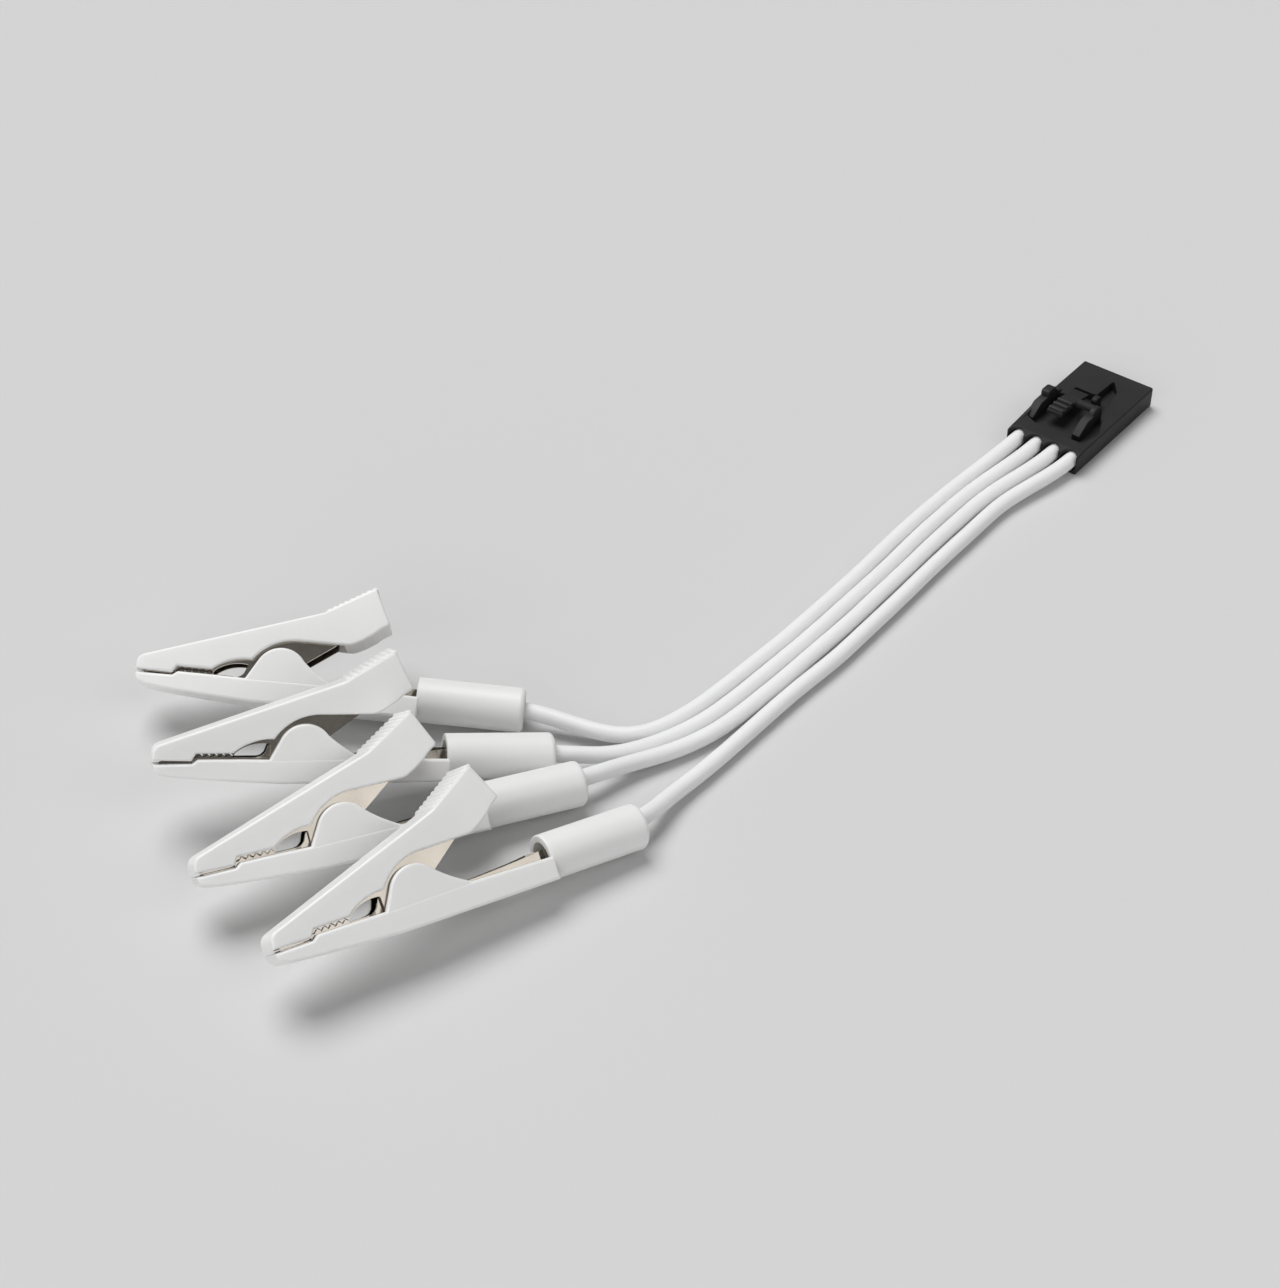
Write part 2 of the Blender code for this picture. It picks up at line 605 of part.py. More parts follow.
def latch_mesh():
    """Latch lever: tongue from its hinge up to the ridged press pad."""
    tongue = [(LATCH_HINGE_X + 0.75, -0.14), (LATCH_HINGE_X + 0.8, 0.02), (12.75, 0.08), (12.65, -0.08),
              (12.35, -0.08), (12.2, 0.2), (10.6, 0.5), (9.2, 0.8), (6.0, 0.92), (5.6, 0.8), (5.55, 0.4),
              (5.75, 0.25), (9.0, 0.25), (LATCH_HINGE_X - 1.5, -0.14)]
    tongue = [(x, HOUSING_H + z) for x, z in tongue]
    body = prism(tongue, constant(LATCH_HALF), housing_point, rounding=0.1, middle=LATCH_Y)
    ridges = []
    for i in range(3):
        start = 5.75 + i * 1.05
        ridge = [(0.0, 0.6), (0.0, 0.92), (0.2, 1.16), (0.45, 1.16), (0.65, 0.8), (0.65, 0.6)]
        ridge = [(start + x, HOUSING_H + z) for x, z in ridge]
        ridges.append(prism(ridge, constant(LATCH_HALF - 0.06), housing_point, middle=LATCH_Y))
    return smooth(combine(body, unions=ridges))


def terminal_mesh():
    """Crimp terminal: wire crimp, neck and square contact box, along x with its axis at y = 0."""
    half_box, wall = TERMINAL_HALF, 0.2
    low = WIRE_Z - half_box
    start = WIRE_SEAT + 0.35
    crimp = [(start, 0.62, WIRE_Z + 0.5, low, wall), (start + 2.2, 0.62, WIRE_Z + 0.5, low, wall),
             (start + 2.6, 0.62, low + 0.5, low, wall), (7.4, half_box, low + 0.5, low, wall)]
    body = channel(crimp, housing_point)
    shell = box((7.2, -half_box, low), (15.9, half_box, WIRE_Z + half_box))
    inner = box((7.0, -half_box + wall, low + wall), (16.5, half_box - wall, WIRE_Z + half_box - wall))
    return combine(body, unions=[combine(shell, cuts=[inner])])


# ---------------------------------------------------------------- placing

def clip_matrix(number):
    position, (roll, pitch, yaw) = CLIPS[number]
    turn = Euler((math.radians(roll), math.radians(pitch), math.radians(yaw)), "XYZ").to_matrix().to_4x4()
    return Matrix.Translation(Vector(position) * MM) @ turn


def housing_matrix():
    return Matrix.Translation(Vector(HOUSING_AT) * MM) @ Matrix.Rotation(math.radians(HOUSING_YAW), 4, "Z")


def wire_points(number):
    """The whole wire in millimetres: crimped in the clip, free over the table, seated in the housing."""
    lean = WIRE_LEAN[number]
    clip = clip_matrix(number)
    housing = housing_matrix()
    middle_x = (WIRE_START_X + BARREL_END) / 2
    inside = [(WIRE_START_X, 0, BARREL_Z), (middle_x, 0, BARREL_Z + lean * 0.5),
              (BARREL_END, 0, BARREL_Z + lean)]
    points = [clip @ clip_point(*p) / MM for p in inside]
    points += [Vector(p) for p in ROUTES[number]]
    y = way_y(number)
    points += [housing @ housing_point(x, y, WIRE_Z) / MM for x in (0.0, WIRE_SEAT)]
    return smooth_curve([tuple(p) for p in points], WIRE_STEP)


def build_clips(rig, materials):
    white, steel, spring_steel = materials["white"], materials["steel"], materials["spring"]
    meshes = [("lower_shell", lower_shell_mesh(), white), ("upper_shell", upper_shell_mesh(), white),
              ("lower_jaw", lower_jaw_mesh(), steel), ("upper_jaw", upper_jaw_mesh(), steel),
              ("pivot_pin", pivot_pin_mesh(), steel)]
    for _, mesh, mat in meshes:
        mesh.materials.clear()
        mesh.materials.append(mat)
    for number in range(len(CLIPS)):
        hinge = add_object(f"clip_{number + 1}", None, rig)
        hinge.matrix_local = clip_matrix(number)
        for name, mesh, _ in meshes:
            add_object(f"clip_{number + 1}_{name}", mesh, hinge)
        spring = tube("spring", spring_points(), SPRING_WIRE / 2 * MM, 1)
        spring.materials.append(spring_steel)
        add_object(f"clip_{number + 1}_spring", spring, hinge)


def build_wires(rig, materials):
    for number in range(len(CLIPS)):
        points = [Vector(p) * MM for p in wire_points(number)]
        wire = tube("wire", points, WIRE_D / 2 * MM, 2)
        wire.materials.append(materials["wire"])
        add_object(f"wire_{number + 1}", wire, rig)


def build_housing(rig, materials):
    base = add_object("housing_frame", None, rig)
    base.matrix_local = housing_matrix()
    housing = housing_mesh()
    latch = latch_mesh()
    terminal = terminal_mesh()
    for mesh, mat in ((housing, "black"), (latch, "black"), (terminal, "terminal")):
        mesh.materials.clear()
        mesh.materials.append(materials[mat])
    add_object("connector_housing", housing, base)
    hinge = add_object("latch_hinge", None, base)
    hinge.location = housing_point(LATCH_HINGE_X, LATCH_Y, LATCH_HINGE_Z)
    latch.transform(Matrix.Translation(-hinge.location))
    add_object("latch_lever", latch, hinge)
    for way in range(WAYS):
        obj = add_object(f"terminal_{way + 1}", terminal, base)
        obj.location = housing_point(0, way_y(way), 0)


def centre_on_origin(rig):
    """Move everything so that the clips and housing stand on z = 0 with their middle at the origin."""
    bpy.context.view_layer.update()
    graph = bpy.context.evaluated_depsgraph_get()
    points = []
    for obj in bpy.data.objects:
        if obj.type == "MESH":
            mesh = obj.evaluated_get(graph).data
            points += [obj.matrix_world @ v.co for v in mesh.vertices]
    low = np.min(np.array(points), axis=0)
    high = np.max(np.array(points), axis=0)
    rig.location = (-(low[0] + high[0]) / 2, -(low[1] + high[1]) / 2, 0.0)
    bpy.context.view_layer.update()
    return low, high


def spring_gap():
    """Least distance between two turns of the spring's wire, in millimetres."""
    points = [np.array(p) / MM for p in spring_points()[2:-2]]
    near = [np.linalg.norm(a - b) for i, a in enumerate(points) for b in points[i + 5:]]
    return min(near) - SPRING_WIRE


def report(low, high):
    print("spring: least gap between turns, mm", round(float(spring_gap()), 3))
    print("box before centring, mm", [round(v / MM, 3) for v in (*low, *high)])
    for obj in bpy.data.objects:
        if obj.type == "EMPTY":
            matrix = obj.matrix_world
            axis = (matrix.to_3x3() @ Vector((0, 1, 0))).normalized()
            print(obj.name, "at", [round(v, 6) for v in matrix.translation], "y axis",
                  [round(v, 6) for v in axis])


def main():
    clear_scene()
    materials = {
        "white": material("white_shell", (0.80, 0.80, 0.79), 0.35),
        "wire": material("white_silicone", (0.82, 0.82, 0.82), 0.45),
        "steel": material("nickel_plate", (0.62, 0.56, 0.48), 0.30, 1.0),
        "spring": material("spring_steel", (0.45, 0.43, 0.40), 0.35, 1.0),
        "black": material("black_housing", (0.02, 0.02, 0.02), 0.55),
        "terminal": material("tin_plate", (0.70, 0.68, 0.62), 0.35, 1.0),
    }
    rig = add_object("lead_frame", None)
    build_clips(rig, materials)
    build_wires(rig, materials)
    build_housing(rig, materials)
    report(*centre_on_origin(rig))


main()
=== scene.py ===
"""Looks of the four-way alligator clip lead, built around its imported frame."""
import json
import math

import bmesh
import bpy
import numpy as np
from mathutils import Euler, Matrix, Vector


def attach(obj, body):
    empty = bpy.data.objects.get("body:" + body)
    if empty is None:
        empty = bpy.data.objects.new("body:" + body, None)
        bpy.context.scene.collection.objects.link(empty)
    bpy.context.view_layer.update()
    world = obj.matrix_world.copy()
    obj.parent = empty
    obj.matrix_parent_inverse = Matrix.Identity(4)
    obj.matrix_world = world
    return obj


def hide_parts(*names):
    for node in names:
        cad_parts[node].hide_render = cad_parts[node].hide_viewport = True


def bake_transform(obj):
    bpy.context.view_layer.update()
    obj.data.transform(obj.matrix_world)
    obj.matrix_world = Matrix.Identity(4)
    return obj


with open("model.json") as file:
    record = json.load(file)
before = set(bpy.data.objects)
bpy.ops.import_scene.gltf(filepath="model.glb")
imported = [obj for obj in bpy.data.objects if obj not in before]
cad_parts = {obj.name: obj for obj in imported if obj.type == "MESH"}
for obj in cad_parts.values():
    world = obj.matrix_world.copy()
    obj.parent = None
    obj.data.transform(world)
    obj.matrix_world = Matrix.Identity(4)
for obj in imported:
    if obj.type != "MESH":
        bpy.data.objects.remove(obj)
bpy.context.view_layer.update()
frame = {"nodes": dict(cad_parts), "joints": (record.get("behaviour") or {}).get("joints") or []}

MM = 0.001
WAYS = 4

# ---------------------------------------------------------------- sizes, in millimetres

FIT_GAP = 0.12
SHEET = 0.35
CRIMP_SHEET = 0.20
SHELL_WALL, TIP_WALL, LEVER_WALL = 0.60, 0.80, 0.70

# a clip in its own frame: x from the nose to the wire, y across, z towards the lever
PIVOT_X, PIVOT_Z = 15.93, 1.14
PIN_R, PIN_HOLE_R, PIN_CHAMFER, PIN_END_GAP = 0.50, 0.58, 0.12, 0.05
EAR_R = 2.93
NOSE_BOTTOM_X, NOSE_BOTTOM_Z = 1.2, -1.38
BELLY_LENGTH, BELLY_DEPTH, BELLY_POWER = 12.0, 0.87, 0.75
TIP_HALF, LOWER_FLARE, UPPER_FLARE, FLARE_END = 1.80, 0.050, 0.040, 16.0
CHANNEL_END = 31.3
SHELL_ROUNDING, EAR_ROUNDING = 0.34, 0.28
BARREL_START, BARREL_END, BARREL_R, BARREL_Z = 31.0, 42.9, 2.50, 0.28
BARREL_END_ROUNDING, BARREL_START_ROUNDING = 0.6, 0.18
BORE_R = 1.75
LEVER_X, LEVER_Z, LEVER_SLOPE = 0.62, 1.97, 0.3375
THUMB_X, THUMB_END = 19.9, (25.3, 11.74)
RIDGES, RIDGE_START, RIDGE_PITCH, RIDGE_HEIGHT = 9, 0.25, 0.68, 0.15
RIDGE_SIDE_GAP, RIDGE_ROUNDING, RIDGE_LIFT, RIDGE_ROOT = 0.08, 0.16, 0.02, -0.3
STEP_X = 4.3
TEETH, TOOTH_PITCH, TOOTH_HEIGHT, TEETH_START = 5, 0.76, 0.34, 4.65
UPPER_TEETH_LIFT = 0.2
RIM_Z, TROUGH_Z = 0.50, 0.62
JAW_BEND, JAW_BEND_STEPS = 0.5, 5
JAW_EAR_R, JAW_WING_R = 1.90, 2.20
JOGGLE_START, JOGGLE_IN, JOGGLE_END, JOGGLE_OUT = 10.4, 0.9, 19.9, 1.2
CRIMP_GAP = 0.03
SPRING_WIRE, SPRING_TURNS, SPRING_PITCH, SPRING_R = 0.30, 1.5, 0.72, 0.92

# the wires
WIRE_D = 1.90
WIRE_START_X = 32.2
WIRE_LEAN = (0.0, 0.15, 0.45, 0.6)
WIRE_STEP, SPRING_STEP = 0.8, 0.12

# the housing in its own frame: x from the wires to the mating face, y across, z up
PITCH = 2.54
HOUSING_L, HOUSING_W, HOUSING_H = 18.9, 10.26, 2.70
WIRE_Z = 1.35
WIRE_SEAT = 2.2
RECESS_Z, GUARD_Z = 1.62, 1.52
ENTRY_MOUTH, ENTRY_DEPTH = 0.12, 1.5
CONTACT_HOLE, CONTACT_HOLE_DEPTH = 1.0, 2.5
LATCH_Y, LATCH_HALF, SLOT_X = 1.7, 1.10, 13.05
LATCH_RIDGES, LATCH_RIDGE_START, LATCH_RIDGE_PITCH = 3, 5.75, 1.05
RAIL_Y = (4.5, -2.27)
ABOVE = 6.0

# ---------------------------------------------------------------- layout, in millimetres and degrees

# each clip's pivot and its roll, pitch and yaw
CLIPS = [
    ((-39.50, -12.07, 5.43), (-51.67, 5.11, -3.22)),
    ((-35.65, -25.75, 7.28), (-37.12, 8.89, 10.56)),
    ((-31.01, -36.28, 5.64), (-42.66, 5.36, 24.31)),
    ((-23.11, -45.89, 6.17), (-46.10, 6.64, 31.99)),
]
HOUSING_AT = (50.3, 35.6, 0.0)
HOUSING_YAW = 51.95

# each wire's way over the table, between its clip and the housing
ROUTES = [
    [(-7.2, -15.7, 1.7), (-1.2, -16.7, 1.1), (4.2, -14.0, 1.0), (8.6, -9.7, 1.0), (12.6, -5.1, 1.0),
     (16.6, -0.4, 1.0), (20.4, 4.4, 1.0), (24.2, 9.3, 1.0), (27.8, 14.2, 1.0), (31.4, 19.2, 1.0),
     (35.2, 24.1, 1.0), (39.1, 28.8, 1.0)],
    [(-3.7, -20.4, 1.6), (1.8, -18.0, 1.1), (6.8, -14.5, 1.0), (11.0, -10.2, 1.0), (14.9, -5.6, 1.0),
     (18.8, -0.9, 1.0), (22.5, 3.8, 1.0), (26.2, 8.6, 1.0), (29.8, 13.4, 1.0), (33.3, 18.3, 1.0),
     (37.0, 23.1, 1.0), (40.9, 27.8, 1.0)],
    [(-1.5, -22.1, 1.7), (3.7, -19.2, 1.1), (8.6, -15.7, 1.0), (12.8, -11.3, 1.0), (16.7, -6.7, 1.0),
     (20.5, -2.0, 1.0), (24.3, 2.7, 1.0), (27.9, 7.5, 1.0), (31.5, 12.3, 1.0), (35.1, 17.2, 1.0),
     (38.8, 22.0, 1.0), (42.6, 26.6, 1.0)],
    [(3.1, -27.1, 1.6), (6.9, -22.4, 1.1), (10.7, -17.7, 1.0), (14.5, -12.9, 1.0), (18.3, -8.3, 1.0),
     (22.3, -3.7, 1.0), (26.0, 1.1, 1.0), (29.7, 6.0, 1.0), (33.3, 10.9, 1.0), (36.9, 15.7, 1.0),
     (40.6, 20.5, 1.0), (44.4, 25.2, 1.0)],
]

CAMERA_LENS, CAMERA_SENSOR, CAMERA_ELEVATION, CAMERA_DISTANCE = 72.7, 36.0, 40.564, 300.0

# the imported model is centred: the first clip's hinge says by how much
first_hinge = next(j for j in frame["joints"] if j["name"] == "clip_1_hinge")
OFFSET = Vector(first_hinge["pos_m"]) / MM - Vector(CLIPS[0][0])
OFFSET.z = 0.0


def link(name, data):
    """A new object in the scene's collection."""
    item = bpy.data.objects.new(name, data)
    bpy.context.scene.collection.objects.link(item)
    return item


# ---------------------------------------------------------------- camera

def make_camera():
    """Camera at the photograph's angle: in front of the lead, looking down at it."""
    data = bpy.data.cameras.new("camera")
    data.sensor_width = CAMERA_SENSOR
    data.lens = CAMERA_LENS
    data.clip_start = 0.01
    elevation = math.radians(CAMERA_ELEVATION)
    back = Vector((0, -CAMERA_DISTANCE * math.cos(elevation), CAMERA_DISTANCE * math.sin(elevation)))
    camera = link("camera", data)
    camera.location = (OFFSET + back) * MM
    camera.rotation_euler = (math.pi / 2 - elevation, 0, 0)
    bpy.context.scene.camera = camera


# ---------------------------------------------------------------- frames

def clip_matrix(number):
    """Where a clip lies in the scene."""
    position, (roll, pitch, yaw) = CLIPS[number]
    turn = Euler((math.radians(roll), math.radians(pitch), math.radians(yaw)), "XYZ").to_matrix().to_4x4()
    return Matrix.Translation((Vector(position) + OFFSET) * MM) @ turn


def housing_matrix():
    """Where the housing lies in the scene."""
    spot = Matrix.Translation((Vector(HOUSING_AT) + OFFSET) * MM)
    return spot @ Matrix.Rotation(math.radians(HOUSING_YAW), 4, "Z")


def clip_point(x, y, z):
    """A point in a clip's frame, in metres from its pivot."""
    return Vector(((x - PIVOT_X) * MM, y * MM, (z - PIVOT_Z) * MM))


def pin_point(x, y, z):
    """A point of a solid turned about the pin: x along the pin, y and z from its axis."""
    return clip_point(PIVOT_X + y, x, PIVOT_Z + z)


def housing_point(x, y, z):
    """A point in the housing's frame, in metres."""
    return Vector((x * MM, y * MM, z * MM))


def way_y(way):
    """Middle of one of the housing's ways."""
    return ((WAYS - 1) / 2 - way) * PITCH


# ---------------------------------------------------------------- wires

def smooth_curve(points, step):
    """Points every `step` along a natural cubic spline through `points`."""
    p = np.array(points, float)
    t = np.concatenate(([0.0], np.cumsum(np.linalg.norm(np.diff(p, axis=0), axis=1))))
    h = np.diff(t)
    n = len(p)
    a = np.eye(n)
    b = np.zeros((n, 3))
    for i in range(1, n - 1):
        a[i, i - 1:i + 2] = h[i - 1], 2 * (h[i - 1] + h[i]), h[i]
        b[i] = 6 * ((p[i + 1] - p[i]) / h[i] - (p[i] - p[i - 1]) / h[i - 1])
    m = np.linalg.solve(a, b)

    def at(s):
        i = min(max(int(np.searchsorted(t, s)) - 1, 0), n - 2)
        u, v = s - t[i], t[i + 1] - s
        bend = (m[i] * v ** 3 + m[i + 1] * u ** 3) / (6 * h[i])
        return bend + (p[i] / h[i] - m[i] * h[i] / 6) * v + (p[i + 1] / h[i] - m[i + 1] * h[i] / 6) * u

    count = max(2, int(round(t[-1] / step)) + 1)
    return [at(s) for s in np.linspace(0.0, t[-1], count)]


def wire_points(number):
    """Middle line of a wire: out of the clip's barrel, over the table, into the housing."""
    lean = WIRE_LEAN[number]
    clip = clip_matrix(number)
    housing = housing_matrix()
    middle_x = (WIRE_START_X + BARREL_END) / 2
    inside = [(WIRE_START_X, 0, BARREL_Z), (middle_x, 0, BARREL_Z + lean * 0.5),
              (BARREL_END, 0, BARREL_Z + lean)]
    points = [clip @ clip_point(*p) / MM for p in inside]
    points += [Vector(p) + OFFSET for p in ROUTES[number]]
    y = way_y(number)
    points += [housing @ housing_point(x, y, WIRE_Z) / MM for x in (0.0, WIRE_SEAT)]
    return smooth_curve([tuple(p) for p in points], WIRE_STEP)


def round_tube(name, points, diameter, resolution):
    """A round bar along points given in metres."""
    curve = bpy.data.curves.new(name, "CURVE")
    curve.dimensions = "3D"
    curve.bevel_depth = diameter / 2 * MM
    curve.bevel_resolution = resolution
    curve.use_fill_caps = True
    spline = curve.splines.new("POLY")
    spline.points.add(len(points) - 1)
    for spline_point, point in zip(spline.points, points):
        spline_point.co = (*point, 1.0)
    spline.use_smooth = True
    return curve


def make_wires(material):
    """The four silicone wires, each a cord on the lead."""
    for number in range(WAYS):
        points = [Vector(p) * MM for p in wire_points(number)]
        curve = round_tube("wire", points, WIRE_D, resolution=8)
        curve.materials.append(material)
        wire = link(f"silicone_wire_{number + 1}", curve)
        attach(wire, "lead")
        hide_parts(f"wire_{number + 1}")


# ---------------------------------------------------------------- outlines

CORNER_STEPS = 5

# angles in degrees from which an edge is shaded sharp
PLAIN_CREASE, SHEET_CREASE, HOUSING_CREASE = 38, 30, 32


def arc(center, radius, start, end, count):
    """Points on a circle from one angle to another, in degrees."""
    points = []
    for i in range(count):
        angle = math.radians(start + (end - start) * i / (count - 1))
        points.append((center[0] + radius * math.cos(angle), center[1] + radius * math.sin(angle)))
    return points


def arc_through(first, middle, last, count):
    """Points on the circle through three points, from the first to the last."""
    (ax, az), (bx, bz), (cx, cz) = first, middle, last
    d = 2 * (ax * (bz - cz) + bx * (cz - az) + cx * (az - bz))
    a2, b2, c2 = ax * ax + az * az, bx * bx + bz * bz, cx * cx + cz * cz
    ux = (a2 * (bz - cz) + b2 * (cz - az) + c2 * (az - bz)) / d
    uz = (a2 * (cx - bx) + b2 * (ax - cx) + c2 * (bx - ax)) / d
    start = math.degrees(math.atan2(az - uz, ax - ux))
    end = math.degrees(math.atan2(cz - uz, cx - ux))
    mid = math.degrees(math.atan2(bz - uz, bx - ux))
    span = (end - start) % 360
    if (mid - start) % 360 > span:
        span -= 360
    return arc((ux, uz), math.hypot(ax - ux, az - uz), start, start + span, count)


def round_corners(outline, radii):
    """An outline whose corners are replaced by arcs; radii maps a corner's index to its radius."""
    points = []
    for i, corner in enumerate(outline):
        radius = radii.get(i, 0)
        if not radius:
            points.append(corner)
            continue
        b = Vector(corner)
        u = Vector(outline[i - 1]) - b
        v = Vector(outline[(i + 1) % len(outline)]) - b
        turn = u.angle(v)
        reach = min(radius / math.tan(turn / 2), u.length * 0.48, v.length * 0.48)
        radius = reach * math.tan(turn / 2)
        u.normalize()
        v.normalize()
        center = b + (u + v).normalized() * (radius / math.sin(turn / 2))
        a, c = b + u * reach - center, b + v * reach - center
        w = math.pi - turn
        for k in range(CORNER_STEPS + 1):
            f = k / CORNER_STEPS
            p = (a * math.sin((1 - f) * w) + c * math.sin(f * w)) / math.sin(w)
            points.append(tuple(center + p))
    return points


def lever_top(x):
    """Height of the lever's straight top edge."""
    return LEVER_Z + LEVER_SLOPE * (x - LEVER_X)


def lower_bottom(x):
    """Height of the lower shell's underside, which bellies down from the nose."""
    if x <= NOSE_BOTTOM_X:
        return NOSE_BOTTOM_Z
    return NOSE_BOTTOM_Z - BELLY_DEPTH * min(1.0, (x - NOSE_BOTTOM_X) / BELLY_LENGTH) ** BELLY_POWER


def lower_half(x):
    """Half width of the lower shell."""
    return TIP_HALF + LOWER_FLARE * min(x, FLARE_END)


def upper_half(x):
    """Half width of the upper shell."""
    return TIP_HALF + UPPER_FLARE * x


def jaw_half(x):
    """Half width of the metal jaws, which fit inside both shells."""
    return min(lower_half(x), upper_half(x)) - SHELL_WALL - FIT_GAP


# ---------------------------------------------------------------- mesh tools

def finish_mesh(bm, name):
    """A mesh from a bmesh, its faces turned outwards."""
    bmesh.ops.recalc_face_normals(bm, faces=bm.faces)
    mesh = bpy.data.meshes.new(name)
    bm.to_mesh(mesh)
    bm.free()
    return mesh


def prism(outline, half, place=clip_point, rounding=0.0, middle=0.0, segments=3, bends=()):
    """A side-view outline given thickness: y = middle +- half(x), edges rounded on both sides."""
    bm = bmesh.new()
    sides = []
    for sign in (-1, 1):
        sides.append([bm.verts.new(place(x, middle + sign * half(x), z)) for x, z in outline])
    for side in sides:
        bm.faces.new(side)
    for i in range(len(outline)):
        j = (i + 1) % len(outline)
        bm.faces.new((sides[0][i], sides[0][j], sides[1][j], sides[1][i]))
    for bend in bends:
        cut = place(bend, 0, 0)
        bmesh.ops.bisect_plane(bm, geom=bm.verts[:] + bm.edges[:] + bm.faces[:], dist=1e-7,
                               plane_co=cut, plane_no=(1, 0, 0))
        for vert in bm.verts:
            if abs(vert.co.x - cut.x) < 1e-6:
                vert.co.y = (middle + math.copysign(half(bend), vert.co.y / MM - middle)) * MM
    bmesh.ops.recalc_face_normals(bm, faces=bm.faces)
    if rounding:
        rims = [edge for edge in bm.edges if is_rim(edge, place, middle)]
        bmesh.ops.bevel(bm, geom=rims, offset=rounding * MM, segments=segments, profile=0.5,
                        affect="EDGES", clamp_overlap=True)
    return finish_mesh(bm, "prism")


def is_rim(edge, place, middle):
    """True for an edge where a flat side of a prism meets its thickness."""
    across = (place(0, 1, 0) - place(0, 0, 0)).normalized()
    start = place(0, middle, 0).dot(across)
    a, b = (vert.co.dot(across) - start for vert in edge.verts)
    return a * b > 0 and edge.calc_face_angle(0.0) > math.radians(30)


def constant(value):
    """The same half width everywhere along x."""
    return lambda x: value


def housing_box(low, high):
    """A block in the housing's frame between two opposite corners."""
    outline = [(low[0], low[2]), (high[0], low[2]), (high[0], high[2]), (low[0], high[2])]
    return prism(outline, constant((high[1] - low[1]) / 2), housing_point, middle=(low[1] + high[1]) / 2)


def join_rings(bm, rings):
    """Faces between rings of vertices, and over both ends."""
    count = len(rings[0])
    for a, b in zip(rings, rings[1:]):
        for i in range(count):
            j = (i + 1) % count
            bm.faces.new((a[i], a[j], b[j], b[i]))
    bm.faces.new(rings[0])
    bm.faces.new(rings[-1])


def turned(profile, axis_z, sides, place=clip_point):
    """A solid of revolution about a line along x: profile is (x, radius) from end to end."""
    bm = bmesh.new()
    rings = []
    for x, radius in profile:
        ring = []
        for i in range(sides):
            angle = 2 * math.pi * (i + 0.5) / sides
            ring.append(bm.verts.new(place(x, radius * math.cos(angle), axis_z + radius * math.sin(angle))))
        rings.append(ring)
    join_rings(bm, rings)
    return finish_mesh(bm, "turned")


def combine(base, unions=(), cuts=()):
    """Boolean-join solids to a base and cut others from it, giving one mesh."""
    scratch = []

    def temporary(mesh):
        obj = link("temporary", mesh)
        scratch.append(obj)
        return obj

    body = temporary(base)
    for kind, solids in (("UNION", unions), ("DIFFERENCE", cuts)):
        for solid in solids:
            modifier = body.modifiers.new(kind, "BOOLEAN")
            modifier.operation = kind
            modifier.solver = "EXACT"
            modifier.object = temporary(solid)
    bpy.context.view_layer.update()
    graph = bpy.context.evaluated_depsgraph_get()
    mesh = bpy.data.meshes.new_from_object(body.evaluated_get(graph))
    for obj in scratch:
        bpy.data.objects.remove(obj, do_unlink=True)
    return mesh


def soften(mesh, degrees):
    """Smooth shading across gentle angles, crisp at sharper ones."""
    bm = bmesh.new()
    bm.from_mesh(mesh)
    bmesh.ops.remove_doubles(bm, verts=bm.verts, dist=0.000002)
    bmesh.ops.dissolve_degenerate(bm, edges=bm.edges, dist=0.000001)
    bm.to_mesh(mesh)
    bm.free()
    mesh.shade_smooth()
    mesh.set_sharp_from_angle(angle=math.radians(degrees))
    return mesh


def place_piece(name, mesh, material, matrix, body, node):
    """A copy of a mesh, moved into place and handed over as the looks of a CAD node."""
    mesh = mesh.copy()
    mesh.transform(matrix)
    piece = link(name, mesh)
    mesh.materials.clear()
    mesh.materials.append(material)
    weighted = piece.modifiers.new("flat_faces_first", "WEIGHTED_NORMAL")
    weighted.keep_sharp = True
    weighted.weight = 80
    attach(piece, body)
    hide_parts(node)


# ---------------------------------------------------------------- plastic shells

